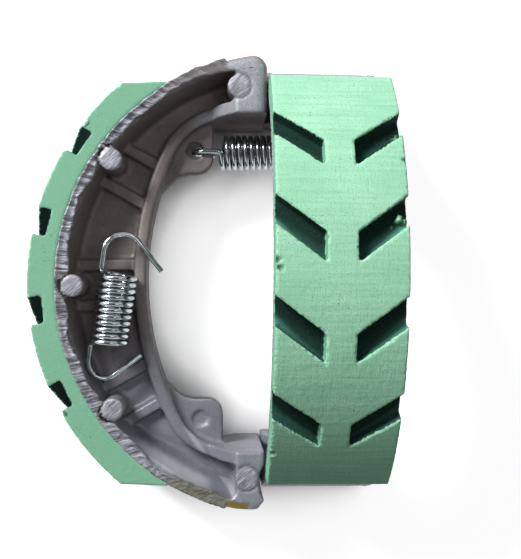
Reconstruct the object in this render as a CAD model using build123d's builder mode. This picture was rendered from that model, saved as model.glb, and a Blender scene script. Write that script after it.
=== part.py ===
from build123d import *
import os
from math import atan, atan2, cos, degrees, radians, sin, sqrt, tan

# A pair of drum brake shoes with bonded linings and two return springs, in millimetres.
# One shoe lies flat with the drum axis along Z through the origin. Its arc opens towards +X,
# its cam end is at +Y and its pivot end at -Y. The other stands on its two ends beside it.

# Drum size and lining
lining_radius = 55.0
lining_thickness = 5.7
glue_line = 0.1
shoe_width = 25.0
lining_end_height = 42.0
lining_end_slope = 2.8

# Slanted grooves, in rows of two that make a V pointing to the pivot end
groove_rows = 4
groove_pitch = 20.0
first_groove_angle = 33.9
groove_width = 5.7
groove_slant = 7.2
groove_depth = 2.9
groove_land = 5.8

# Casting: a full-width rim and end blocks, a thin web between them, and a low flange along the hub opening
rim_thickness = 2.0
web_thickness = 4.0
casting_draft = 3.0
channel_width = 13.7
channel_corner = 1.6
flange_thickness = 2.7
flange_height = 3.0
flange_round = 0.8
flange_run_in = 3.0
flange_arc_radius = 65.3
flange_arc_rise = 0.9
flange_cam_corner = 12.8
flange_pivot_corner = 10.5

# Cam end and pivot end: faces measured inwards from the rim, standoffs from a plane through the axis
cam_standoff = 4.7
cam_face = 13.2
cam_corner = 3.0
pivot_standoff = 5.4
pivot_face = 13.7
pivot_flat_cut = 1.4
pivot_corner = 2.6
seat_radius = 6.6
seat_inset = 7.2
block_length = 11.3
block_ramp = 5.5
end_edge_round = 1.9

# Round posts, at an angle from the middle of the arc and an inset from the rim's inner wall
post_radius = 2.4
cam_post_angle = 75.5
cam_post_inset = 4.1
upper_post_angle = 34.6
middle_post_angle = -0.7
lower_post_angle = -35.4
rim_post_inset = 1.5
pivot_post_angle = -77.4
pivot_post_inset = 5.1

# Ribs, in pairs beside the three middle posts
rib_width = 3.0
rib_height = 2.0
rib_draft = 12.0
rib_gap = 8.9
rib_lean = 5.0

# Spring tabs: how far each reaches from the flange and from its end of the hub opening
cam_tab_length = 14.55
cam_tab_depth = 11.65
cam_tab_run = 7.25
pivot_tab_length = 16.8
pivot_tab_depth = 10.0
pivot_tab_run = 8.7
tab_corner = 3.6
tab_sweep = 6.0
hole_radius = 1.9
hole_from_flange = 10.55
hole_from_end = 6.5
mark_radius = 1.9
mark_depth = 0.5
mark_from_flange = 11.8
mark_from_end = 5.55

# Return springs. Each pair gives the hook at the coil's start, then the one at its end.
# The hooked spring's coil starts at a distance from the tab's hole and below the web's top.
wire_diameter = 1.2
wire_sides = 8
coil_turns = 11
coil_pitch = 1.37
hook_bend = 1.2
bend_pull = 0.55
hooked_coil_diameter = 8.0
hooked_legs = (2.3, 6.8)
hooked_radii = (2.7, 2.7)
hooked_turns = (132.0, 132.0)
hooked_tails = (5.6, 5.6)
hooked_from_hole = (5.95, -0.2, 2.8)
hooked_heading = (1, 0.01, 0.02)
loose_coil_diameter = 8.4
loose_legs = (3.05, 3.15)
loose_radii = (3.4, 4.2)
loose_turns = (133.0, 133.5)
loose_tails = (7.2, 8.1)
loose_from_rim = 8.75
loose_start = -12.8
loose_angle = 7.7
loose_lean = 12.0

# Clearances between the pieces of the set
side_gap = 0.25
lay_gap = 0.15
stand_shift = 1.0

rim_radius = lining_radius - lining_thickness - glue_line
rim_wall = rim_radius - rim_thickness
recess = (shoe_width - web_thickness) / 2
web_top = recess + web_thickness
cam_inner_height = rim_radius - cam_face
pivot_inner_height = rim_radius - pivot_face
pivot_flat = rim_radius - pivot_flat_cut
flange_reach = rim_wall - channel_width - flange_thickness
flange_centre = flange_arc_radius - flange_reach
far = 2 * lining_radius


def arc_point(angle, reach):
    """A point at an angle from the middle of the arc, positive to the cam end."""
    return (-reach * cos(radians(angle)), reach * sin(radians(angle)))


def near(shape, x, y):
    """The corner of a profile that lies closest to a point."""
    return shape.vertices().sort_by_distance((x, y, 0))[0]


# Grooves of the lining, as solid cutters that end on the groove floor
with BuildPart() as groove_cuts:
    for row in range(groove_rows):
        middle = first_groove_angle - row * groove_pitch - degrees(groove_slant / lining_radius) / 2
        out_x, out_y = arc_point(middle, 1)
        face = Plane(
            origin=(lining_radius * out_x, lining_radius * out_y, shoe_width / 2),
            x_dir=(-out_y, out_x, 0),
            z_dir=(out_x, out_y, 0),
        )
        rise = groove_slant / (shoe_width / 2 - groove_land / 2)
        with BuildSketch(face.offset(1)):
            for side in (-1, 1):
                ends = []
                for across in (groove_land / 2, shoe_width / 2 + 1):
                    along = groove_slant / 2 - rise * (across - groove_land / 2)
                    ends.append([(along + edge * groove_width / 2, side * across) for edge in (-1, 1)])
                Polygon(*ends[0], *reversed(ends[1]), align=None)
        extrude(amount=-(groove_depth + 3))
    with BuildSketch(Plane.XY.offset(-1)):
        Circle(lining_radius + 3)
        Circle(lining_radius - groove_depth, mode=Mode.SUBTRACT)
    extrude(amount=shoe_width + 2, mode=Mode.INTERSECT)

# Friction lining of the flat shoe: an arc with cut ends and the grooves
end_slope = sin(radians(lining_end_slope))
end_outer_x = sqrt(lining_radius**2 - lining_end_height**2)
with BuildPart() as lining_flat:
    with BuildSketch():
        Circle(lining_radius)
        Circle(rim_radius + glue_line, mode=Mode.SUBTRACT)
        end_at_axis = lining_end_height + end_slope * end_outer_x
        end_at_far = lining_end_height - end_slope * (far - end_outer_x)
        Polygon((0, end_at_axis), (-far, end_at_far), (-far, -end_at_far), (0, -end_at_axis),
                align=None, mode=Mode.INTERSECT)
    extrude(amount=shoe_width)
    add(groove_cuts.part, mode=Mode.SUBTRACT)

# Open space inside the arc, which the flange follows
with BuildSketch() as hub_space:
    with Locations((flange_centre, flange_arc_rise)):
        Circle(flange_arc_radius)
    Polygon((far, cam_inner_height), (-far, cam_inner_height),
            (-far, -pivot_inner_height), (far, -pivot_inner_height), align=None, mode=Mode.INTERSECT)
    fillet(near(hub_space, -flange_reach / 2, cam_inner_height), flange_cam_corner)
    fillet(near(hub_space, -flange_reach / 2, -pivot_inner_height), flange_pivot_corner)

# Channel inside the rim, which leaves the web
with BuildSketch() as channel:
    Circle(rim_wall)
    with Locations((-block_length, 0)):
        Rectangle(far, far, align=(Align.MAX, Align.CENTER), mode=Mode.INTERSECT)
    fillet(channel.vertices(), channel_corner)

# Flange: a low band each side of the web, which climbs a ramp onto each end block
with BuildPart() as flange:
    with BuildSketch():
        add(hub_space.sketch)
        offset(amount=flange_thickness)
        add(hub_space.sketch, mode=Mode.SUBTRACT)
        with Locations((flange_run_in - block_length, 0)):
            Rectangle(far, far, align=(Align.MAX, Align.CENTER), mode=Mode.INTERSECT)
    extrude(amount=shoe_width)
    ramp_start = block_length + block_ramp
    with BuildSketch(Plane.XZ) as flange_side:
        Polygon((-far, recess - flange_height), (-ramp_start, recess - flange_height), (-block_length, 0),
                (0, 0), (0, shoe_width), (-block_length, shoe_width),
                (-ramp_start, web_top + flange_height), (-far, web_top + flange_height), align=None)
    extrude(amount=far, both=True, mode=Mode.INTERSECT)
    flange_tops = flange.faces().filter_by(Axis.Z).sort_by(SortBy.AREA)[-2:]
    fillet(flange_tops.edges().filter_by(lambda edge: edge.length > 2 * flange_thickness), flange_round)

post_places = [arc_point(angle, rim_wall - inset) for angle, inset in (
    (cam_post_angle, cam_post_inset),
    (upper_post_angle, rim_post_inset),
    (middle_post_angle, rim_post_inset),
    (lower_post_angle, rim_post_inset),
    (pivot_post_angle, pivot_post_inset),
)]

# Ribs on the web, from inside the rim to inside the flange
with BuildSketch() as rib_lines:
    for angle, lean in (
        (upper_post_angle, rib_lean),
        (middle_post_angle, 0),
        (lower_post_angle, -rib_lean),
    ):
        with Locations(Location((*arc_point(angle, rim_wall - rim_post_inset), 0), (0, 0, lean - angle))):
            with GridLocations(0, rib_gap, 1, 2):
                Rectangle(2 * (channel_width + flange_thickness), rib_width)
    Circle(rim_wall + rim_thickness / 2, mode=Mode.INTERSECT)
    add(hub_space.sketch, mode=Mode.SUBTRACT)

# Spring tabs, each a plate at the web's level with a corner round its hole or mark
with BuildSketch() as tabs:
    for side, length, depth, run, top in (
        (1, cam_tab_length, cam_tab_depth, cam_tab_run, cam_inner_height),
        (-1, pivot_tab_length, pivot_tab_depth, pivot_tab_run, pivot_inner_height),
    ):
        edge = length - flange_reach
        low = top - depth
        Polygon((edge, side * (top + flange_thickness / 2)), (edge, side * low), (edge - run, side * low),
                (edge - run - tab_sweep, side * (low - tab_sweep)),
                (-flange_reach - flange_thickness, side * (top - flange_thickness)), align=None)
        fillet(near(tabs, edge, side * low), tab_corner)
        fillet(near(tabs, edge - run, side * low), tab_sweep)

# Cast shoe that lies flat
with BuildPart() as shoe_flat:
    with BuildSketch() as outline:
        Circle(rim_radius)
        Polygon((-far, far), (-cam_standoff, far), (-cam_standoff, 0), (-pivot_standoff, 0),
                (-pivot_standoff, -pivot_flat), (-far, -pivot_flat), align=None, mode=Mode.INTERSECT)
        add(hub_space.sketch, mode=Mode.SUBTRACT)
        fillet(near(outline, -cam_standoff, rim_radius), cam_corner)
        fillet(near(outline, -pivot_standoff, -pivot_flat), pivot_corner)
        with Locations((0, seat_inset - rim_radius)):
            Circle(seat_radius, mode=Mode.SUBTRACT)
    extrude(amount=shoe_width)
    fillet(shoe_flat.edges().filter_by(Axis.Y).group_by(Axis.X)[-1], end_edge_round)
    for side_plane, depth in ((Plane.XY.offset(shoe_width), -recess), (Plane.XY, recess)):
        with BuildSketch(side_plane):
            add(channel.sketch)
        extrude(amount=depth, taper=casting_draft, mode=Mode.SUBTRACT)
    add(flange.part)
    for level, height in ((web_top, rib_height), (recess, -rib_height)):
        with BuildSketch(Plane.XY.offset(level)):
            add(rib_lines.sketch)
        extrude(amount=height, taper=rib_draft)
    with BuildSketch(Plane.XY.offset(web_top)):
        with Locations(*post_places):
            Circle(post_radius)
    extrude(amount=recess)
    with BuildSketch(Plane.XY.offset(recess)):
        add(tabs.sketch)
    extrude(amount=web_thickness)
    with Locations((hole_from_flange - flange_reach, cam_inner_height - hole_from_end, web_top)):
        Hole(hole_radius, depth=web_thickness)
    with BuildSketch(Plane.XY.offset(web_top)):
        with Locations((mark_from_flange - flange_reach, mark_from_end - pivot_inner_height)):
            Circle(mark_radius)
    extrude(amount=-mark_depth, mode=Mode.SUBTRACT)

# The standing shoe is the same casting, turned onto its ends and against the flat shoe
foot_drop = degrees(atan2(pivot_standoff - cam_standoff, cam_inner_height + pivot_flat))
stand_height = (cam_standoff * cos(radians(foot_drop)) + cam_inner_height * sin(radians(foot_drop)))
standing = (
    Location((side_gap - (cam_standoff + pivot_standoff) / 2, stand_shift, -stand_height))
    * Location((0, 0, 0), (0, 0, -foot_drop))
    * Location((0, 0, 0), (foot_drop, 0, 0))
    * Location((0, 0, 0), (0, 90, 0))
)

with BuildPart() as shoe_upright:
    add(shoe_flat.part.moved(standing))

with BuildPart() as lining_upright:
    add(lining_flat.part.moved(standing))


# Return springs: a close coil along Z, with a long open hook at each end on one side
def return_spring(coil_diameter, legs, radii, turns, tails):
    """A spring along Z, with its hooks in the XZ plane and their legs at +X."""
    coil_radius = (coil_diameter - wire_diameter) / 2
    hook_lead = degrees(atan(hook_bend / coil_radius))
    pull = hook_bend * bend_pull
    with BuildPart() as made:
        with BuildLine() as coil_line:
            coil = Helix(coil_pitch, coil_pitch * (coil_turns - hook_lead / 180), coil_radius)
        with BuildSketch(Plane(origin=coil @ 0, z_dir=coil % 0)):
            RegularPolygon(wire_diameter / 2, wire_sides)
        sweep(path=coil_line.wires()[0], is_frenet=True)
        for end in (0, 1):
            start = coil @ end
            leaving = (coil % end) * (2 * end - 1)
            axial = Vector(0, 0, 2 * end - 1)
            level = Vector(leaving.X, leaving.Y, 0).normalized()
            leg_start = start + (level + axial) * hook_bend
            leg_end = leg_start + axial * legs[end]
            inward = (Vector(0, 0, leg_end.Z) - leg_end).normalized()
            centre = leg_end + inward * radii[end]
            halfway, bent = [
                centre - inward * radii[end] * cos(radians(turn)) + axial * radii[end] * sin(radians(turn))
                for turn in (turns[end] / 2, turns[end])
            ]
            onward = inward * sin(radians(turns[end])) + axial * cos(radians(turns[end]))
            with BuildLine() as hook_line:
                Bezier(start, start + leaving * pull, leg_start - axial * pull, leg_start)
                Line(leg_start, leg_end)
                ThreePointArc(leg_end, halfway, bent)
                Line(bent, bent + onward * tails[end])
            with BuildSketch(Plane(origin=start, z_dir=leaving)):
                RegularPolygon(wire_diameter / 2, wire_sides)
            sweep(path=hook_line.wires()[0])
    return made.part.rotate(Axis.Z, hook_lead)


# One spring is hooked through the cam tabs of both shoes
hook_x, hook_y, hook_z = hooked_from_hole
hooked = Plane(
    origin=(
        hole_from_flange - flange_reach + hook_x,
        cam_inner_height - hole_from_end + hook_y,
        web_top - hook_z,
    ),
    x_dir=(-hooked_heading[2], 0, hooked_heading[0]),
    z_dir=hooked_heading,
)
with BuildPart() as return_spring_hooked:
    add(hooked.location * return_spring(
        hooked_coil_diameter, hooked_legs, hooked_radii, hooked_turns, hooked_tails))

# The other lies across the ribs of the flat shoe
loose = Plane(
    origin=(
        loose_from_rim - rim_wall,
        loose_start,
        web_top + rib_height + lay_gap + loose_coil_diameter / 2,
    ),
    x_dir=(-cos(radians(loose_angle)), sin(radians(loose_angle)), tan(radians(loose_lean))),
    z_dir=(sin(radians(loose_angle)), cos(radians(loose_angle)), 0),
)
with BuildPart() as return_spring_loose:
    add(loose.location * return_spring(
        loose_coil_diameter, loose_legs, loose_radii, loose_turns, loose_tails))

pieces = {
    "shoe_flat": shoe_flat,
    "lining_flat": lining_flat,
    "shoe_upright": shoe_upright,
    "lining_upright": lining_upright,
    "return_spring_hooked": return_spring_hooked,
    "return_spring_loose": return_spring_loose,
}

# The frame's origin is the middle of the whole set, on the floor that it stands on
whole = Compound([piece.part for piece in pieces.values()]).bounding_box()
to_origin = Location((-(whole.min.X + whole.max.X) / 2, -(whole.min.Y + whole.max.Y) / 2, -whole.min.Z))
print("shift", to_origin.position, "size", whole.size)
os.makedirs("parts", exist_ok=True)
for name, piece in pieces.items():
    body = piece.part.moved(to_origin)
    body.label = name
    export_step(body, "parts/" + name + ".step")
    box = piece.part.bounding_box()
    print(name, len(piece.part.solids()), round(piece.part.volume), box.min, box.max)
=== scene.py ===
import bmesh
import bpy
import math
import numpy as np
from mathutils import Matrix, Vector, noise


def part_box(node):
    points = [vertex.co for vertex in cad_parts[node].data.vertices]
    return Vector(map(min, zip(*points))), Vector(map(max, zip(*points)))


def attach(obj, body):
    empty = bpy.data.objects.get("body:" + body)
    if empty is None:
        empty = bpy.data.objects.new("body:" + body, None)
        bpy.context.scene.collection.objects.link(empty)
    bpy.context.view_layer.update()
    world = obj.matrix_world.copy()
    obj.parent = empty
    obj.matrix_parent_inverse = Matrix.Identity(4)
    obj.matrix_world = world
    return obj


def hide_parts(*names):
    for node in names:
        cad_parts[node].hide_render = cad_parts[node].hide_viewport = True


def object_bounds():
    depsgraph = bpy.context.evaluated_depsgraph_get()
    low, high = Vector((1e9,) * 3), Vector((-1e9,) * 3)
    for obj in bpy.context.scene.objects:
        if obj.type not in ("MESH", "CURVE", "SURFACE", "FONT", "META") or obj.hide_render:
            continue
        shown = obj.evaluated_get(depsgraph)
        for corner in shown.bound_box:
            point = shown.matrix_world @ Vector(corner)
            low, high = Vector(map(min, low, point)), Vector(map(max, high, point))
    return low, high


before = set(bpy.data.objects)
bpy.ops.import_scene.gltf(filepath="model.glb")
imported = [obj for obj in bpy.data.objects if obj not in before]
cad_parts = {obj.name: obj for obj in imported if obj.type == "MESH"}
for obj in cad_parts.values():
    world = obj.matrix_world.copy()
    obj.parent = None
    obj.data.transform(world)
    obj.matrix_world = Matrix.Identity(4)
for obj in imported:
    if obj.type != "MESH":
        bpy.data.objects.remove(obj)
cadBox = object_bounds()
mm = 0.001
print("stage: frame loaded")

# Places that every piece shares, in millimetres: the flat shoe's drum axis, and how the other shoe stands
shoe = {
    "drumRadius": 55.0,
    "width": 25.0,
    "standAt": (-4.8, 1.0, -5.0),
    "standTurn": 0.478,
}
liningLow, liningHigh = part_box("lining_flat")
drumPlace = Vector((liningLow.x + shoe["drumRadius"] * mm, (liningLow.y + liningHigh.y) / 2, 0))
flatPlace = Matrix.Translation(drumPlace)
turn = math.radians(shoe["standTurn"])
standPlace = (
    Matrix.Translation(drumPlace + Vector(shoe["standAt"]) * mm)
    @ Matrix.Rotation(-turn, 4, "Z")
    @ Matrix.Rotation(turn, 4, "X")
    @ Matrix.Rotation(math.pi / 2, 4, "Y")
)


def linear(hexText):
    parts = [int(hexText[i:i + 2], 16) / 255 for i in (1, 3, 5)]
    return tuple(c / 12.92 if c <= 0.04045 else ((c + 0.055) / 1.055) ** 2.4 for c in parts) + (1.0,)


def add(tree, kind, inputs=None, **settings):
    made = tree.nodes.new(kind)
    for key, value in settings.items():
        setattr(made, key, value)
    for key, value in (inputs or {}).items():
        if isinstance(value, bpy.types.NodeSocket):
            tree.links.new(value, made.inputs[key])
        else:
            made.inputs[key].default_value = value
    return made


def newMaterial(name):
    material = bpy.data.materials.new(name)
    material.use_nodes = True
    material.node_tree.nodes.clear()
    return material, material.node_tree


def showSurface(tree, shader):
    tree.links.new(shader.outputs[0], add(tree, "ShaderNodeOutputMaterial").inputs[0])


def readMask(tree, name):
    return add(tree, "ShaderNodeAttribute", attribute_name=name).outputs["Fac"]


def blendColour(tree, factor, low, high):
    made = add(tree, "ShaderNodeMix", {0: factor}, data_type="RGBA")
    for socket, value in ((made.inputs[6], low), (made.inputs[7], high)):
        if isinstance(value, bpy.types.NodeSocket):
            tree.links.new(value, socket)
        else:
            socket.default_value = linear(value)
    return made.outputs[2]


def blendNumber(tree, factor, low, high):
    return add(tree, "ShaderNodeMix", {0: factor, 2: low, 3: high}, data_type="FLOAT").outputs[0]


def maths(tree, operation, first, second):
    return add(tree, "ShaderNodeMath", {0: first, 1: second}, operation=operation).outputs[0]


def ramp(tree, value, band, to=(0.0, 1.0)):
    made = add(tree, "ShaderNodeMapRange", {0: value, 1: band[0], 2: band[1], 3: to[0], 4: to[1]})
    return made.outputs[0]


# Noise by its scale, its detail and its roughness
def cloud(tree, where, form, distortion=0.0):
    scale, detail, roughness = form
    return add(tree, "ShaderNodeTexNoise", {
        "Vector": where, "Scale": scale, "Detail": detail, "Roughness": roughness, "Distortion": distortion,
    }).outputs["Fac"]


def stretch(tree, where, scale, **settings):
    return add(tree, "ShaderNodeMapping", {"Vector": where, "Scale": scale}, **settings)


# Rays that show the room itself: to the camera, and in or through the object
def shownRays(tree):
    path = add(tree, "ShaderNodeLightPath")
    seen = maths(tree, "MAXIMUM", path.outputs["Is Camera Ray"], path.outputs["Is Glossy Ray"])
    return maths(tree, "MAXIMUM", seen, path.outputs["Is Transmission Ray"])


# Scales are per millimetre. A layer is the band of its noise that shows, its strength and its colour
frictionLooks = {
    "clouds": (0.09, 3.0, 0.6),
    "lines": (1.0, 4.0, 0.65),
    "lineStretch": (1.3, 0.05, 0.6),
    "threads": (1.0, 3.0, 0.6),
    "threadStretch": (0.25, 2.2, 0.6),
    "grit": (3.2, 3.0, 0.7),
    "chalk": ("#A2E0BC", "#B4EBCB"),
    "chalkBand": (0.3, 0.7),
    "lineLayer": ((0.38, 0.62), 0.4, "#86C6A0"),
    "threadLayer": ((0.5, 0.75), 0.25, "#8CCBA6"),
    "gritLayer": ((0.52, 0.72), 0.75, "#76B490"),
    "side": ("#86BF9F", "#6C9F84"),
    "sideBand": (0.45, 0.7),
    "sideAmount": 0.4,
    "pitScale": 0.55,
    "pitSize": (0.09, 0.05),
    "pitChance": (0.5, 0.6),
    "pit": "#3F7A5B",
    "speckSize": (0.6, 0.68),
    "speckBand": (0.42, 0.58),
    "speckChance": (0.15, 0.7),
    "speck": "#4F8B6C",
    # the grooves' colour: a darker moulded skin, deepened near black as painted shade
    "skin": ("#0C221D", "#1A3F34"),
    "skinBand": (0.4, 0.7),
    # the colour of the painted light on the lower side of each groove
    "grooveHighlight": "#5E9E8B",
    "bump": 0.5,
    "bumpHeight": 0.12,
    "roughness": 0.85,
    "specular": 0.2,
}


# Ground friction compound: a chalky green outside with a fine crosswise grain from the grinding wheel,
# and a darker resin skin where the mould left the grooves, deepened with painted shade, with painted light on
# their lower sides
def groundFriction():
    looks = frictionLooks
    material, tree = newMaterial("ground friction compound")
    wrap = add(tree, "ShaderNodeAttribute", attribute_name="wrap").outputs["Vector"]
    clouds = cloud(tree, wrap, looks["clouds"])
    lines = cloud(tree, stretch(tree, wrap, looks["lineStretch"]).outputs[0], looks["lines"])
    threads = cloud(tree, stretch(tree, wrap, looks["threadStretch"]).outputs[0], looks["threads"])
    grit = cloud(tree, wrap, looks["grit"])
    base = blendColour(tree, ramp(tree, clouds, looks["chalkBand"]), *looks["chalk"])
    for source, layer in ((lines, "lineLayer"), (threads, "threadLayer"), (grit, "gritLayer")):
        band, amount, shade = looks[layer]
        base = blendColour(tree, ramp(tree, source, band, (0.0, amount)), base, shade)
    dusty = ramp(tree, grit, looks["sideBand"], (0.0, looks["sideAmount"]))
    base = blendColour(tree, readMask(tree, "side"), base, blendColour(tree, dusty, *looks["side"]))
    pits = add(tree, "ShaderNodeTexVoronoi", {"Vector": wrap, "Scale": looks["pitScale"], "Randomness": 1.0})
    pitted = maths(tree, "MULTIPLY", ramp(tree, pits.outputs["Distance"], looks["pitSize"]),
                   ramp(tree, clouds, looks["pitChance"]))
    base = blendColour(tree, pitted, base, looks["pit"])
    specks = maths(tree, "MULTIPLY", ramp(tree, grit, looks["speckSize"]),
                   ramp(tree, clouds, looks["speckBand"], looks["speckChance"]))
    base = blendColour(tree, specks, base, looks["speck"])
    # inside the grooves: the darker moulded skin deepened as painted shade, then the painted light on their
    # lower sides
    skin = blendColour(tree, ramp(tree, grit, looks["skinBand"]), *looks["skin"])
    skin = blendColour(tree, readMask(tree, "grooveHighlight"), skin, looks["grooveHighlight"])
    colour = blendColour(tree, readMask(tree, "grooveSkinAndShade"), base, skin)
    height = maths(tree, "ADD", maths(tree, "ADD", grit, lines), threads)
    bump = add(tree, "ShaderNodeBump", {
        "Height": height, "Strength": looks["bump"], "Distance": looks["bumpHeight"] * mm,
    })
    showSurface(tree, add(tree, "ShaderNodeBsdfPrincipled", {
        "Base Color": colour, "Roughness": looks["roughness"], "Specular IOR Level": looks["specular"],
        "Normal": bump.outputs[0],
    }))
    return material


# What castingMesh marks on each point of a casting
castingMasks = ("dressedAndRampHighlight", "disc", "torn", "stain", "warm", "wall", "ring", "pivotHighlight")
aluminiumLooks = {
    "clouds": (0.12, 4.0, 0.6),
    "peel": (1.5, 4.0, 0.62),
    "sand": (4.5, 2.0, 0.7),
    "scratches": (1.0, 4.0, 0.7),
    "scratchTurn": 42.0,
    "scratchStretch": (3.0, 0.4, 1.0),
    "ridges": (1.0, 3.0, 0.65),
    "ridgeStretch": (0.3, 1.7, 0.3),
    "ridgeBend": 0.4,
    "cool": ("#82838D", "#9798A3"),
    "coolBand": (0.3, 0.7),
    "brown": ("#827A79", "#938A89"),
    "brownBand": (0.35, 0.65),
    "peelBand": (0.52, 0.8),
    "peelAmount": 0.3,
    "peelShade": "#4E4A4C",
    # the colour of the painted highlight at the pivot end
    "pivotHighlightColour": "#C6C7D2",
    # the colour of the painted shade on the hub wall and the trough
    "wallShade": "#3C3736",
    "face": ("#888A93", "#B4B6BE"),
    "faceBand": (0.35, 0.65),
    "cleaned": ("#787882", "#C6C6D2"),
    "cleanedBand": (0.4, 0.62),
    "tear": ("#5C5D66", "#BEBFC9"),
    "tearBand": (0.42, 0.6),
    # the colour of the painted shade in the ring round each post
    "ringPaintedShade": "#242326",
    "glue": ("#6E6B56", "#94803C"),
    "glueBand": (0.78, 0.98),
    "bump": 0.7,
    "bumpHeight": (0.12 * mm, 0.6 * mm),
    "roughBand": (0.3, 0.7),
    "roughness": (0.42, 0.58),
    "metallic": (0.3, 0.05),
    "specular": 0.3,
}


# Die-cast aluminium: a dull grey-brown skin, sandy and paler where a wheel has dressed the side faces and the
# posts, and torn into ridges along the shoe's X where the rim's edge was trimmed
# Painted light: highlights on the pivot end's sloped wall and flange edge and on the cam ramp; painted shade
# on the hub wall, the pivot end's trough and the rings round the posts
def dieCastAluminium():
    looks = aluminiumLooks
    material, tree = newMaterial("die-cast aluminium")
    place = add(tree, "ShaderNodeAttribute", attribute_name="place").outputs["Vector"]
    masks = {name: readMask(tree, name) for name in castingMasks}
    clouds = cloud(tree, place, looks["clouds"])
    peel = cloud(tree, place, looks["peel"])
    sand = cloud(tree, place, looks["sand"])
    slanted = stretch(tree, place, looks["scratchStretch"], vector_type="TEXTURE")
    slanted.inputs["Rotation"].default_value = (0, 0, math.radians(looks["scratchTurn"]))
    scratches = cloud(tree, slanted.outputs[0], looks["scratches"])
    combed = stretch(tree, place, looks["ridgeStretch"])
    ridges = cloud(tree, combed.outputs[0], looks["ridges"], looks["ridgeBend"])
    cool = blendColour(tree, ramp(tree, clouds, looks["coolBand"]), *looks["cool"])
    brown = blendColour(tree, ramp(tree, clouds, looks["brownBand"]), *looks["brown"])
    colour = blendColour(tree, masks["warm"], cool, brown)
    peeled = ramp(tree, peel, looks["peelBand"], (0.0, looks["peelAmount"]))
    colour = blendColour(tree, peeled, colour, looks["peelShade"])
    face = blendColour(tree, ramp(tree, sand, looks["faceBand"]), *looks["face"])
    cleaned = blendColour(tree, ramp(tree, scratches, looks["cleanedBand"]), *looks["cleaned"])
    tear = blendColour(tree, ramp(tree, ridges, looks["tearBand"]), *looks["tear"])
    glue = blendColour(tree, ramp(tree, masks["stain"], looks["glueBand"]), *looks["glue"])
    for name, shade in (("pivotHighlight", looks["pivotHighlightColour"]), ("wall", looks["wallShade"]), ("dressedAndRampHighlight", face),
                        ("disc", cleaned), ("torn", tear), ("ring", looks["ringPaintedShade"]), ("stain", glue)):
        colour = blendColour(tree, masks[name], colour, shade)
    height = peel
    for name, relief in (("dressedAndRampHighlight", sand), ("disc", scratches), ("torn", ridges)):
        height = blendNumber(tree, masks[name], height, relief)
    reach = ramp(tree, masks["torn"], (0.0, 1.0), looks["bumpHeight"])
    bump = add(tree, "ShaderNodeBump", {"Height": height, "Strength": looks["bump"], "Distance": reach})
    showSurface(tree, add(tree, "ShaderNodeBsdfPrincipled", {
        "Base Color": colour,
        "Metallic": ramp(tree, masks["wall"], (0.0, 1.0), looks["metallic"]),
        "Roughness": ramp(tree, peel, looks["roughBand"], looks["roughness"]),
        "Specular IOR Level": looks["specular"],
        "Normal": bump.outputs[0],
    }))
    return material


wireLooks = {
    "clouds": (600.0, 3.0, 0.5),
    "plating": ("#A2AAAD", "#C6CED1"),
    "platingBand": (0.35, 0.65),
    "roughBand": (0.3, 0.7),
    "roughness": (0.14, 0.22),
}


# Zinc-plated spring wire: drawn smooth, with faint cloudy plating. Its noise is scaled per metre
def zincWire():
    looks = wireLooks
    material, tree = newMaterial("zinc-plated spring wire")
    clouds = cloud(tree, add(tree, "ShaderNodeTexCoord").outputs["Object"], looks["clouds"])
    showSurface(tree, add(tree, "ShaderNodeBsdfPrincipled", {
        "Base Color": blendColour(tree, ramp(tree, clouds, looks["platingBand"]), *looks["plating"]),
        "Metallic": 1.0,
        "Roughness": ramp(tree, clouds, looks["roughBand"], looks["roughness"]),
    }))
    return material


lining = groundFriction()
casting = dieCastAluminium()
zinc = zincWire()
print("stage: materials made")


# How near two vertices of a CAD mesh lie when they are one, in millimetres
weld = 0.002


# A finer copy of a CAD node of the flat shoe, in metres from the drum axis
def fineCopy(nodeName, voxel):
    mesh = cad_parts[nodeName].data.copy()
    mesh.materials.clear()
    bm = bmesh.new()
    bm.from_mesh(mesh)
    bmesh.ops.remove_doubles(bm, verts=bm.verts, dist=weld * mm)
    bmesh.ops.transform(bm, matrix=flatPlace.inverted(), verts=bm.verts)
    bm.to_mesh(mesh)
    bm.free()
    rough = bpy.data.objects.new("rough", mesh)
    bpy.context.scene.collection.objects.link(rough)
    remesh = rough.modifiers.new("grain", "REMESH")
    remesh.mode = "VOXEL"
    remesh.voxel_size = voxel * mm
    remesh.use_smooth_shade = True
    bpy.context.view_layer.update()
    fine = bpy.data.meshes.new_from_object(rough.evaluated_get(bpy.context.evaluated_depsgraph_get()))
    bpy.data.objects.remove(rough)
    return fine


def readPlaces(mesh):
    flat = np.zeros(len(mesh.vertices) * 3, np.float32)
    mesh.vertices.foreach_get("co", flat)
    return flat.reshape(-1, 3).astype(float) / mm


def writePlaces(mesh, places):
    mesh.vertices.foreach_set("co", (places * mm).astype(np.float32).ravel())
    mesh.update()


# The mesh's points and normals, with each point's distance and angle about the drum axis and the way outward
def readSurface(mesh):
    at = readPlaces(mesh)
    flat = np.zeros(len(mesh.vertices) * 3, np.float32)
    mesh.vertex_normals.foreach_get("vector", flat)
    radius = np.hypot(at[:, 0], at[:, 1])
    angles = np.degrees(np.arctan2(at[:, 1], -at[:, 0]))
    outward = np.stack([at[:, 0] / radius, at[:, 1] / radius, np.zeros(len(at))], 1)
    return at, flat.reshape(-1, 3).astype(float), radius, angles, outward


def keepMask(mesh, name, values):
    mesh.attributes.new(name, "FLOAT", "POINT").data.foreach_set("value", values.astype(np.float32))


def keepVector(mesh, name, values):
    made = mesh.attributes.new(name, "FLOAT_VECTOR", "POINT")
    made.data.foreach_set("vector", values.astype(np.float32).ravel())


def grain(places, size, seed):
    return np.array([noise.noise(Vector(p) / size + Vector((seed, 0, seed))) for p in places])


# A grain between 0 and 1
def unevenness(places, size, seed):
    return np.clip(0.5 + 0.9 * grain(places, size, seed), 0, 1)


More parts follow.
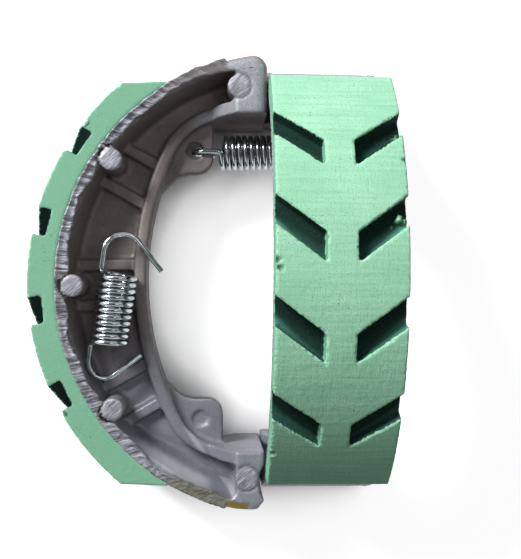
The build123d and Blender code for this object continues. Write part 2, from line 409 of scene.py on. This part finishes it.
def step(values, low, high):
    t = np.clip((values - low) / (high - low), 0, 1)
    return t * t * (3 - 2 * t)


def push(at, direction, amount):
    at += direction * amount[:, None]


# How deep each point lies below the nearer side of the shoe, and which way that side faces
def sideDepth(at):
    return np.minimum(at[:, 2], shoe["width"] - at[:, 2])


def sideWay(at):
    return np.sign(at[:, 2] - shoe["width"] / 2)


# The place on the drum's face at an angle from the middle of the arc, and a reach from the axis
def drumPoint(angle, reach):
    return -reach * math.cos(math.radians(angle)), reach * math.sin(math.radians(angle))


# Puts a piece in its place, and holds it inside the box of the solids
def place(name, mesh, matrix, material, node, slotName):
    mesh.transform(matrix)
    writePlaces(mesh, np.clip(readPlaces(mesh), np.array(cadBox[0]) / mm, np.array(cadBox[1]) / mm))
    mesh.materials.clear()
    mesh.materials.append(material)
    for polygon in mesh.polygons:
        polygon.use_smooth = True
    piece = bpy.data.objects.new(name, mesh)
    bpy.context.scene.collection.objects.link(piece)
    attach(piece, "root")
    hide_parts(node)


# In millimetres, with angles in degrees from the middle of the arc, upwards at the cam end.
# A pair is mostly the band that a value rises through. A spot's form is how ragged it is, and its core
liningLooks = {
    "voxel": 0.30,
    "grooves": 4,
    "pitch": 20.0,
    "firstAngle": 33.9,
    "slant": 7.2,
    "width": 5.7,
    "land": 5.8,
    "nearGroove": 0.6,
    "grooveRim": 0.35,
    "grooveTop": 0.25,
    "grooveFloor": 51.6,
    "sideFacing": (0.75, 0.9),
    "sideFrom": (49.0, 49.6),
    "mouldedTo": 0.5,
    "roughSize": 0.9,
    "fineSize": 0.45,
    "fineShare": 0.6,
    "crumbleReach": (0.05, 0.45),
    "crumbleDepth": 0.56,
    "crumbleFrom": (53.9, 54.8),
    "crumbleInset": 0.1,
    "skinWave": 0.03,
    "skinSize": 0.8,
    "tuck": 0.5,
    "tuckTo": (49.4, 49.8),
    "buryTo": (49.25, 49.6),
    "buryDepth": (0.3, 0.6),
    "chipForm": (0.5, 0.35),
    # how much of the grooves' painted shade darkens each chip's hollow
    "chipPaintedShade": 0.8,
    "crumbForm": (0.7, 0.5),
    "crumbDepth": 1.5,
    "crumbRise": 1.2,
    "seedShift": 40,
    # where the painted light on each groove's lower side fades out, and how strong it is at the middle and at
    # the sides
    "litWallFrom": (0.3, 1.0),
    "litWallTo": (1.0, 1.6),
    "litWallShare": (0.45, 0.45),
    "floorBand": (-1.6, 0.6),
    "floorHighlight": 0.15,
    "unlitRows": (0.0, 20.0),
    "unlitAmount": 0.6,
}


# How far each point lies outside the nearest groove, measured on the drum's surface,
# and near a groove how far above its middle line
def grooveDistance(angles, across, looks):
    nearest = np.full(len(angles), np.inf)
    low = np.zeros(len(angles))
    half = shoe["width"] / 2
    rise = looks["slant"] / (half - looks["land"] / 2)
    lean = math.cos(math.atan(rise))
    inset = np.abs(across - half)
    centre = looks["slant"] / 2 - rise * (inset - looks["land"] / 2)
    landEdge = looks["land"] / 2 - inset
    back = math.degrees(looks["slant"] / shoe["drumRadius"]) / 2
    for row in range(looks["grooves"]):
        middle = looks["firstAngle"] - row * looks["pitch"] - back
        along = np.radians(angles - middle) * shoe["drumRadius"]
        bandEdge = (np.abs(along + centre) - looks["width"] / 2) * lean
        edge = np.maximum(bandEdge, landEdge)
        low = np.where(edge < looks["nearGroove"], (along + centre) * lean, low)
        nearest = np.minimum(nearest, edge)
    return nearest, low


# A ragged spot round a point: 1 in its core, and 0 beyond its size
def spot(at, centre, size, form, rough):
    ragged, core = form
    reach = np.sqrt(((at - centre) ** 2).sum(1)) + ragged * size * rough
    return 1 - step(reach, core * size, size)


# Chips are each an angle, a place across, a size and a depth; crumbs an angle, a place across and a size
def liningMesh(seed, chips, crumbs=()):
    looks = liningLooks
    drum = shoe["drumRadius"]
    mesh = fineCopy("lining_flat", looks["voxel"])
    at, normals, radius, angles, outward = readSurface(mesh)
    gap, low = grooveDistance(angles, at[:, 2], looks)
    sides = step(np.abs(normals[:, 2]), *looks["sideFacing"]) * step(radius, *looks["sideFrom"])
    inside = (radius < drum - looks["grooveTop"]) & (radius > looks["grooveFloor"])
    inside &= gap < looks["grooveRim"]
    # the groove insides, painted with the darker moulded skin and painted shade
    grooveSkinAndShade = np.where(inside & (sides < looks["mouldedTo"]), 1.0, 0.0)
    # the groove edges and the side edges have crumbled
    rough = grain(at, looks["roughSize"], seed) + looks["fineShare"] * grain(at, looks["fineSize"], seed + 5)
    edge = np.minimum(np.abs(gap), sideDepth(at) + looks["crumbleInset"])
    bite = step(radius, *looks["crumbleFrom"]) * (1 - step(edge, *looks["crumbleReach"]))
    bite *= np.clip(rough, 0, 1)
    push(at, outward, -bite * looks["crumbleDepth"])
    push(at, normals, looks["skinWave"] * grain(at, looks["skinSize"], seed + 9))
    # the inner wall and its edges lie inside the casting, under the rim's flash
    buried = (1 - step(radius, *looks["buryTo"])) * (1 - step(sideDepth(at), *looks["buryDepth"]))
    at[:, 2] -= sideWay(at) * looks["tuck"] * buried
    push(at, outward, -looks["tuck"] * (1 - step(radius, *looks["tuckTo"])))
    # larger chips
    chipped = np.zeros(len(at))
    for angle, across, size, depth in chips:
        hollow = spot(at, (*drumPoint(angle, drum), across), size, looks["chipForm"], rough)
        push(at, outward, -hollow * depth)
        chipped = np.maximum(chipped, hollow)
    # crumbs of compound left in the ends of grooves
    left = np.zeros(len(at))
    for angle, across, size in crumbs:
        centre = (*drumPoint(angle, drum - looks["crumbDepth"]), across)
        left = np.maximum(left, spot(at, centre, size, looks["crumbForm"], rough))
    push(at, outward, left * inside * looks["crumbRise"])
    writePlaces(mesh, at)
    unrolled = np.stack([np.radians(angles) * drum, at[:, 2], radius], 1)
    keepVector(mesh, "wrap", unrolled + seed * looks["seedShift"])
    # chips take the grooves' dark colour as painted shade in their hollows
    keepMask(mesh, "grooveSkinAndShade", np.maximum(grooveSkinAndShade * (1 - left), looks["chipPaintedShade"] * chipped))
    # painted light: the lower side of each groove is paler, more so towards the shoe's sides and the cam end,
    # and a little further down the groove; rows towards the pivot end get less, as they face away from the
    # light
    outer = (np.abs(at[:, 2] - shoe["width"] / 2) / (shoe["width"] / 2)) ** 2
    (start, startRise), (end, endRise) = looks["litWallFrom"], looks["litWallTo"]
    litWall = 1 - step(low + looks["width"] / 2, start + startRise * outer, end + endRise * outer)
    middleLight, sideLight = looks["litWallShare"]
    grooveHighlight = litWall * (middleLight + sideLight * outer)
    grooveHighlight += looks["floorHighlight"] * (1 - step(low, *looks["floorBand"])) * (1 - litWall)
    keepMask(mesh, "grooveHighlight", grooveHighlight * (1 - looks["unlitAmount"] * step(-angles, *looks["unlitRows"])))
    keepMask(mesh, "side", sides)
    return mesh


place("lining_lying", liningMesh(1, [(38.0, 24.6, 1.4, 0.8), (-30.0, 25.0, 1.0, 0.5)]),
      flatPlace, lining, "lining_flat", "lining")
place("lining_standing", liningMesh(2, [
    (24.6, 24.8, 0.8, 0.5), (3.6, 0.3, 0.9, 0.7), (2.2, 0.8, 0.7, 0.5), (-38.6, 0.4, 0.7, 0.6),
], [(32.2, 24.2, 1.5), (12.6, 23.8, 2.0)]), standPlace, lining, "lining_upright", "lining")
print("stage: linings made")


# Posts are each an angle and a reach from the drum axis. Bands named Past are measured outward from the rim's
# inner wall, a post's edge or the flange's arc. A wave is a stretch, a size, a shift of the seed and a weight
castingLooks = {
    "voxel": 0.41,
    "rimWall": 47.2,
    "postRadius": 2.4,
    "posts": ((75.5, 43.1), (34.6, 45.7), (-0.7, 45.7), (-35.4, 45.7), (-77.4, 42.1)),
    "blockFrom": -12.5,
    "flangeMiddle": (34.5, 0.9),
    "flangeRadius": 65.3,
    "sideFacing": (0.6, 0.85),
    "sideDepth": (0.25, 0.5),
    "seedShift": 60,
    "discPastPost": (-0.3, 0.0),
    "rimPastWall": (-0.9, -0.5),
    "rimFade": 2.0,
    "camEnd": (54.0, 64.0),
    "camCalm": 0.65,
    "pivotEnd": (40.0, 58.0),
    "footSlope": 0.8,
    "pivotSlope": 2.8,
    "footCurve": 1.6,
    "footFrom": (40.5, 47.0),
    "footPastWall": 0.15,
    "footPastPost": 0.3,
    "pastBlock": 1.0,
    "webDepth": 10.5,
    "webInset": 0.1,
    "lipDepth": (0.6, 2.2),
    "lipPastWall": (0.25, 0.9),
    "lipWave": 0.4,
    "lipWaves": (((0.35, 1.0, 0.3), 0.9, 0, 1.0), ((1, 1, 1), 3.4, 3, 0.9), ((1, 1, 1), 6.0, 4, 2.6)),
    "ridgeStretch": (0.3, 1.0, 0.3),
    "ridgeSize": 0.75,
    "ridgeDepth": 0.32,
    "brink": (48.5, 48.9),
    "flashFrom": (48.0, 48.6),
    "flashDepth": (0.8, 1.1),
    "flashRise": 0.06,
    "flashTaper": (1.0, 1.9),
    "flashCamEnd": (52.0, 58.0),
    "flashCamMore": 0.5,
    "flashShare": (0.55, 0.45),
    "flashStretch": (0.4, 1.0, 0.3),
    "flashSize": 1.5,
    "ringPastPost": ((-0.05, 0.1), (0.3, 0.55)),
    "ringDepth": 0.3,
    "ringPaintedShade": 0.5,
    "ringOnShoe": (15.0, 18.0),
    "skinWave": 0.05,
    "skinSize": 1.8,
    "skinDepth": (0.2, 0.8),
    "bandAlong": (15.5, 19.0),
    "bandFrom": (0.8, 2.0),
    "bandTo": (5.0, 8.0),
    "bandRadius": (42.5, 43.5),
    "bandEnd": 47.4,
    "edgeHighlight": 0.6,
    "edgeHeight": 16.6,
    "edgePastFlange": ((-1.2, -0.4), (0.1, 0.4)),
    "wallFacing": (0.3, 0.6),
    "wallTo": (34.0, 36.0),
    "wallEnd": -28.0,
    "troughPaintedShade": 0.4,
    "troughDepth": (6.5, 9.5),
    "troughPastFlange": ((-0.1, 0.1), (1.5, 4.0)),
    "troughEnd": 46.5,
    "camRamp": (33.0, 39.4, 15.5),
    "camRampAlong": (-24.0, -15.0),
    "camRampFacing": 0.2,
    "camRampHighlight": 1.3,
    "dressedShare": (0.45, 0.55),
    "finTorn": 0.9,
    "warmTo": (12.0, 38.0),
    "warmCalm": 0.7,
    "outside": (48.6, 49.0),
    "stainAngles": ((57.0, 61.0), (79.0, 79.6)),
    "stainFrom": (46.8, 47.4),
    "stainHeight": (19.0, 24.0),
    "stainBright": (73.0, 75.5),
    "stainShare": (0.75, 0.25),
}


# How far each point lies from the middle of the nearest post
def postDistance(at, looks):
    nearest = np.full(len(at), np.inf)
    for angle, reach in looks["posts"]:
        x, y = drumPoint(angle, reach)
        nearest = np.minimum(nearest, np.hypot(at[:, 0] - x, at[:, 1] - y))
    return nearest


def castingMesh(seed, flash):
    looks = castingLooks
    rimWall, postRadius, blockFrom = looks["rimWall"], looks["postRadius"], looks["blockFrom"]
    mesh = fineCopy("shoe_flat", looks["voxel"])
    at, normals, radius, angles, outward = readSurface(mesh)
    keepVector(mesh, "place", at + seed * looks["seedShift"])
    fromSide = sideDepth(at)
    flat = step(np.abs(normals[:, 2]), *looks["sideFacing"]) * (1 - step(fromSide, *looks["sideDepth"]))
    fromPost = postDistance(at, looks) - postRadius
    top = at[:, 2] > shoe["width"] / 2
    disc = (1 - step(fromPost, *looks["discPastPost"])) * flat * top
    onRim = step(radius - rimWall, *looks["rimPastWall"])
    onRim *= 1 - step(at[:, 0], blockFrom - looks["rimFade"], blockFrom)
    torn = flat * onRim * (1 - disc)
    ragged = 1 - looks["camCalm"] * step(angles, *looks["camEnd"])

    # the rim's inner wall runs out into the web, most of all at the pivot end
    pivotEnd = step(-angles, *looks["pivotEnd"])
    slope = looks["footSlope"] + (looks["pivotSlope"] - looks["footSlope"]) * pivotEnd
    drop = np.clip(fromSide / looks["webDepth"], 0, 1) ** looks["footCurve"]
    inChannel = step(radius, *looks["footFrom"]) * (radius < rimWall + looks["footPastWall"])
    inChannel *= at[:, 0] < blockFrom + looks["pastBlock"]
    aboveWeb = (fromSide < looks["webDepth"] + looks["webInset"]) & (fromPost > looks["footPastPost"])
    push(at, outward, -slope * drop * inChannel * aboveWeb)

    # the trimmed lip between rim and channel is ragged, and its face is torn into ridges
    lip = (1 - step(fromSide, *looks["lipDepth"])) * (1 - disc)
    lip *= 1 - step(np.abs(radius - rimWall), *looks["lipPastWall"])
    wave = sum(weight * grain(at * stretched, size, seed + shift)
               for stretched, size, shift, weight in looks["lipWaves"])
    push(at, outward, -lip * looks["lipWave"] * wave)
    ridge = unevenness(at * looks["ridgeStretch"], looks["ridgeSize"], seed + 11)
    brink = step(radius, *looks["brink"])
    at[:, 2] -= np.sign(normals[:, 2]) * torn * looks["ridgeDepth"] * ridge * ragged * (1 - brink)

    # a thin flash stands out over the lining's edge
    outerEdge = step(radius, *looks["flashFrom"]) * (at[:, 0] < blockFrom - looks["pastBlock"])
    fin = (1 - step(fromSide, *looks["flashDepth"])) * outerEdge
    at[:, 2] += sideWay(at) * fin * (fromSide + looks["flashRise"])
    spread = flash * (1 - step(fromSide, *looks["flashTaper"])) * outerEdge
    spread *= 1 + looks["flashCamMore"] * step(angles, *looks["flashCamEnd"])
    wobble = unevenness(at * looks["flashStretch"], looks["flashSize"], seed + 21)
    least, more = looks["flashShare"]
    push(at, outward, spread * (least + more * wobble))

    # a shallow ring lies round each post, and the cast skin is a little wavy
    rise, fall = looks["ringPastPost"]
    ring = step(fromPost, *rise) * (1 - step(fromPost, *fall))
    ring *= flat * top * (brink < 0.5)
    at[:, 2] -= looks["ringDepth"] * ring
    skin = grain(at, looks["skinSize"], seed + 7) * step(fromSide, *looks["skinDepth"])
    push(at, normals, looks["skinWave"] * skin)
    writePlaces(mesh, at)

    # painted highlight: the rim's sloped wall and the flange's edge at the pivot end, paler as if lit
    middle = looks["flangeMiddle"]
    fromFlange = np.hypot(at[:, 0] - middle[0], at[:, 1] - middle[1]) - looks["flangeRadius"]
    band = step(-at[:, 0], *looks["bandAlong"]) * step(fromSide, *looks["bandFrom"])
    band *= (1 - step(fromSide, *looks["bandTo"])) * step(radius, *looks["bandRadius"])
    band *= radius < looks["bandEnd"]
    rise, fall = looks["edgePastFlange"]
    flangeEdgeHighlight = looks["edgeHighlight"] * (at[:, 2] > looks["edgeHeight"])
    flangeEdgeHighlight *= step(fromFlange, *rise) * (1 - step(fromFlange, *fall))
    # painted shade: the wall along the hub opening, which faces away from the light, and the trough beside
    # the flange at the pivot end
    hubWallShade = 1 - step(np.abs(normals[:, 2]), *looks["wallFacing"])
    hubWallShade *= (1 - step(radius, *looks["wallTo"])) * (at[:, 1] > looks["wallEnd"])
    rise, fall = looks["troughPastFlange"]
    troughShadow = looks["troughPaintedShade"] * pivotEnd * step(fromSide, *looks["troughDepth"])
    troughShadow *= step(fromFlange, *rise) * (1 - step(fromFlange, *fall))
    troughShadow *= (radius < looks["troughEnd"]) & (at[:, 0] < blockFrom - looks["pastBlock"])
    # sandy: the side faces; painted highlight: the ramp up to the cam end, which faces the light, gets the
    # paler dressed colour
    low, high, height = looks["camRamp"]
    onRamp = (at[:, 1] > low) & (at[:, 1] < high) & (at[:, 2] > height)
    onRamp &= normals[:, 2] > looks["camRampFacing"]
    camRamp = looks["camRampHighlight"] * onRamp * step(at[:, 0], *looks["camRampAlong"]) * (1 - ring)
    least, more = looks["dressedShare"]
    dressedAndRampHighlight = flat * (1 - torn) * (least + more * (at[:, 1] > 0))
    # a smear of glue on the flat shoe only
    rise, fall = looks["stainAngles"]
    smear = step(-angles, *rise) * (1 - step(-angles, *fall)) * step(radius, *looks["stainFrom"])
    least, more = looks["stainShare"]
    smear *= step(at[:, 2], *looks["stainHeight"]) * (least + more * step(-angles, *looks["stainBright"]))
    # brown: from the cam end past the middle of the arc, less so outside the rim
    warm = 1 - step(-angles, *looks["warmTo"])
    warm *= 1 - looks["warmCalm"] * step(radius, *looks["outside"])
    masks = {
        "disc": disc,
        "torn": np.maximum(torn, looks["finTorn"] * fin) * ragged,
        # the shallow ring round each post is painted near black as shade, fainter on the posts in the end
        # blocks
        "ring": ring * (looks["ringPaintedShade"] + step(-at[:, 0], *looks["ringOnShoe"])),
        # painted highlight on the pivot end's sloped wall and flange edge
        "pivotHighlight": pivotEnd * np.maximum(band, flangeEdgeHighlight),
        # painted shade on the hub wall and the trough, which also makes them less metallic
        "wall": np.maximum(hubWallShade, troughShadow),
        # the dressed faces, with a painted highlight added on the cam ramp
        "dressedAndRampHighlight": np.maximum(dressedAndRampHighlight, camRamp),
        "warm": warm,
        "stain": smear * (seed == 1),
    }
    for name in castingMasks:
        keepMask(mesh, name, masks[name])
    return mesh


place("casting_lying", castingMesh(1, 0.6), flatPlace, casting, "shoe_flat", "casting")
place("casting_standing", castingMesh(2, 0.35), standPlace, casting, "shoe_upright", "casting")
print("stage: castings made")


# Return springs, wound and bent as on a spring coiler: a helix, then at each end a bend, a leg, a hook and
# a tail. Turned is how far each hook bends, in degrees
spring = {
    "wire": 1.2,
    "pitch": 1.37,
    "turns": 11,
    "bend": 1.2,
    "sides": 18,
    "stepsPerTurn": 40,
    "bendSteps": 8,
    "hookSteps": 16,
    "tipRound": 0.15,
    "tipSteps": 3,
    "mergeWithin": 0.001,
}
hookedForm = {
    "coilRadius": 3.4,
    "legs": (2.3, 6.8),
    "radii": (2.7, 2.7),
    "turned": (132.0, 132.0),
    "tails": (5.6, 5.6),
    "from": (-14.3, 29.3, 11.7),
    "legSide": (-0.02, 0, 1),
    "axis": (1, 0.01, 0.02),
}
looseForm = {
    "coilRadius": 3.6,
    "legs": (3.05, 3.15),
    "radii": (3.4, 4.2),
    "turned": (133.0, 133.5),
    "tails": (7.2, 8.1),
    "from": (-38.45, -12.8, 20.85),
    "legSide": (-0.991, 0.134, 0.2126),
    "axis": (0.134, 0.991, 0),
}


def ringEdges(geometry):
    return [g for g in geometry if isinstance(g, bmesh.types.BMEdge)]


# Sweeps the wire's last ring round an axis, and returns the new last ring
def bendWire(bm, ring, centre, axis, angle, steps):
    swept = bmesh.ops.spin(bm, geom=ring, cent=centre, axis=axis, angle=angle, steps=steps, dvec=(0, 0, 0))
    return ringEdges(swept["geom_last"])


# Draws the wire's last ring straight on, and returns the new last ring
def runWire(bm, ring, along):
    out = bmesh.ops.extrude_edge_only(bm, edges=ring)["geom"]
    bmesh.ops.translate(bm, vec=along, verts=[g for g in out if isinstance(g, bmesh.types.BMVert)])
    return [e for e in ringEdges(out) if len(e.link_faces) == 1]


def windSpring(name, form, node):
    coil = form["coilRadius"]
    lead = math.atan(spring["bend"] / coil)
    turns = spring["turns"] - lead / math.pi
    slope = math.atan2(spring["pitch"], 2 * math.pi * coil)
    steps = round(turns * spring["stepsPerTurn"])
    height = spring["pitch"] * turns
    endAngle = 2 * math.pi * turns
    bm = bmesh.new()
    start = Matrix.Translation((coil, 0, 0)) @ Matrix.Rotation(slope - math.pi / 2, 4, "X")
    bmesh.ops.create_circle(bm, segments=spring["sides"], radius=spring["wire"] / 2, matrix=start)
    firstRing = list(bm.edges)
    wound = bmesh.ops.spin(bm, geom=firstRing, cent=(0, 0, 0), axis=(0, 0, 1), angle=endAngle,
                           steps=steps, dvec=(0, 0, height / steps))
    ends = (
        (firstRing, Vector((coil, 0, 0)), 0.0, -1),
        (ringEdges(wound["geom_last"]),
         Vector((coil * math.cos(endAngle), coil * math.sin(endAngle), height)), endAngle, 1),
    )
    for end, (ring, at, angle, heading) in enumerate(ends):
        leg, hook, tail = (form[key][end] for key in ("legs", "radii", "tails"))
        hookTurn = math.radians(form["turned"][end])
        along = (-math.sin(angle) * math.cos(slope), math.cos(angle) * math.cos(slope), math.sin(slope))
        tangent = Vector(along) * heading
        axial = Vector((0, 0, heading))
        inward = (axial - tangent * axial.dot(tangent)).normalized()
        bendAxis = tangent.cross(axial).normalized()
        bendAngle = math.acos(tangent.dot(axial))
        centre = at + inward * spring["bend"]
        ring = bendWire(bm, ring, centre, bendAxis, bendAngle, spring["bendSteps"])
        at = centre + Matrix.Rotation(bendAngle, 3, bendAxis) @ (at - centre)
        ring = runWire(bm, ring, axial * leg)
        at = at + axial * leg
        toAxis = Vector((-at.x, -at.y, 0)).normalized()
        hookAxis = axial.cross(toAxis)
        ring = bendWire(bm, ring, at + toAxis * hook, hookAxis, hookTurn, spring["hookSteps"])
        ring = runWire(bm, ring, Matrix.Rotation(hookTurn, 3, hookAxis) @ axial * tail)
        cap = bmesh.ops.contextual_create(bm, geom=ring)["faces"]
        bmesh.ops.bevel(bm, geom=list(cap[0].edges), offset=spring["tipRound"], offset_type="OFFSET",
                        segments=spring["tipSteps"], profile=0.5, affect="EDGES", material=-1)
    bmesh.ops.remove_doubles(bm, verts=bm.verts, dist=spring["mergeWithin"])
    bmesh.ops.recalc_face_normals(bm, faces=bm.faces)
    up = Vector(form["axis"]).normalized()
    side = Vector(form["legSide"])
    side = (side - up * side.dot(up)).normalized()
    turnIn = Matrix((side, up.cross(side), up)).transposed().to_4x4()
    where = flatPlace @ Matrix.Scale(mm, 4) @ Matrix.Translation(form["from"]) @ turnIn
    mesh = bpy.data.meshes.new(name)
    bm.to_mesh(mesh)
    bm.free()
    place(name, mesh, where @ Matrix.Rotation(lead, 4, "Z"), zinc, node, "spring")


windSpring("spring_hooked", hookedForm, "return_spring_hooked")
windSpring("spring_loose", looseForm, "return_spring_loose")
print("stage: springs wound")


# The floor's glow fades where the object stands close, within the reach in millimetres: a painted contact
# shadow
floorLooks = {
    "size": 3.0,
    "bounce": 0.5,
    "pale": 0.9,
    "glow": 0.8,
    "reach": 18.0,
    "openness": (0.45, 0.8),
    "samples": 8,
}


def grey(level):
    return level, level, level, 1


# Plain pale floor: white to the rays that show it, so that the shadow stays and the rest is clear, with a
# painted contact shadow where its glow fades near the object
def paleFloor():
    looks = floorLooks
    material, tree = newMaterial("pale studio floor")
    ground = add(tree, "ShaderNodeBsdfDiffuse", {"Color": grey(looks["bounce"])})
    lit = add(tree, "ShaderNodeBsdfDiffuse", {"Color": grey(looks["pale"])})
    openness = add(tree, "ShaderNodeAmbientOcclusion", {"Distance": looks["reach"] * mm},
                   samples=looks["samples"]).outputs["AO"]
    strength = ramp(tree, openness, looks["openness"], (0.0, looks["glow"]))
    glow = add(tree, "ShaderNodeEmission", {"Color": grey(1), "Strength": strength})
    shown = add(tree, "ShaderNodeAddShader", {0: lit.outputs[0], 1: glow.outputs[0]})
    showSurface(tree, add(tree, "ShaderNodeMixShader", {
        0: shownRays(tree), 1: ground.outputs[0], 2: shown.outputs[0],
    }))
    bm = bmesh.new()
    bmesh.ops.create_grid(bm, x_segments=1, y_segments=1, size=looks["size"])
    mesh = bpy.data.meshes.new("floor")
    bm.to_mesh(mesh)
    bm.free()
    mesh.materials.append(material)
    floor = bpy.data.objects.new("floor", mesh)
    bpy.context.scene.collection.objects.link(floor)


# Lamps are each a name, a place, a size and a power. The room's fill grows along one heading,
# and what shows of the room darkens overhead
studio = {
    "lamps": (
        ("window light", (-0.385, 0.385, 0.376), 0.22, 5.7),
        ("ceiling light", (0.22, 0.10, 0.60), 0.20, 0.3),
    ),
    "fill": (0.03, 0.19),
    "fillFrom": (0, 0.5, 0.866),
    "overhead": (0.4, 0.85),
    "ceiling": 0.12,
}


def lightStudio():
    for name, origin, size, power in studio["lamps"]:
        lamp = bpy.data.lights.new(name, "AREA")
        lamp.shape = "SQUARE"
        lamp.size = size
        lamp.energy = power
        holder = bpy.data.objects.new(name, lamp)
        holder.location = origin
        holder.rotation_euler = (-Vector(origin)).to_track_quat("-Z", "Y").to_euler()
        bpy.context.scene.collection.objects.link(holder)
    world = bpy.data.worlds.new("pale room")
    world.use_nodes = True
    tree = world.node_tree
    tree.nodes.clear()
    heading = add(tree, "ShaderNodeTexCoord").outputs["Generated"]
    upward = add(tree, "ShaderNodeSeparateXYZ", {0: heading}).outputs[2]
    shown = ramp(tree, upward, studio["overhead"], (1.0, studio["ceiling"]))
    facing = add(tree, "ShaderNodeVectorMath", {0: heading, 1: studio["fillFrom"]}, operation="DOT_PRODUCT")
    fill = ramp(tree, facing.outputs["Value"], (0.0, 1.0), studio["fill"])
    strength = blendNumber(tree, shownRays(tree), fill, shown)
    back = add(tree, "ShaderNodeBackground", {"Color": grey(1), "Strength": strength})
    tree.links.new(back.outputs[0], add(tree, "ShaderNodeOutputWorld").inputs[0])
    bpy.context.scene.world = world


# The photograph is 521 by 559, and its focal length is given in its own pixels
view = {
    "from": (-16.6, -1.13, 213.53),
    "turned": (0.57, -3.14, 0.0),
    "focal": 895.5,
    "height": 559,
    "sensor": 36.0,
    "near": 0.01,
    "far": 10.0,
}


def setCamera():
    camera = bpy.data.cameras.new("camera")
    camera.sensor_width = view["sensor"]
    camera.lens = view["focal"] / view["height"] * view["sensor"]
    camera.clip_start = view["near"]
    camera.clip_end = view["far"]
    holder = bpy.data.objects.new("camera", camera)
    holder.location = drumPlace + Vector(view["from"]) * mm
    holder.rotation_euler = [math.radians(a) for a in view["turned"]]
    bpy.context.scene.collection.objects.link(holder)
    bpy.context.scene.camera = holder


paleFloor()
lightStudio()
setCamera()
bpy.context.scene.view_settings.view_transform = "Standard"
print("stage: studio set")
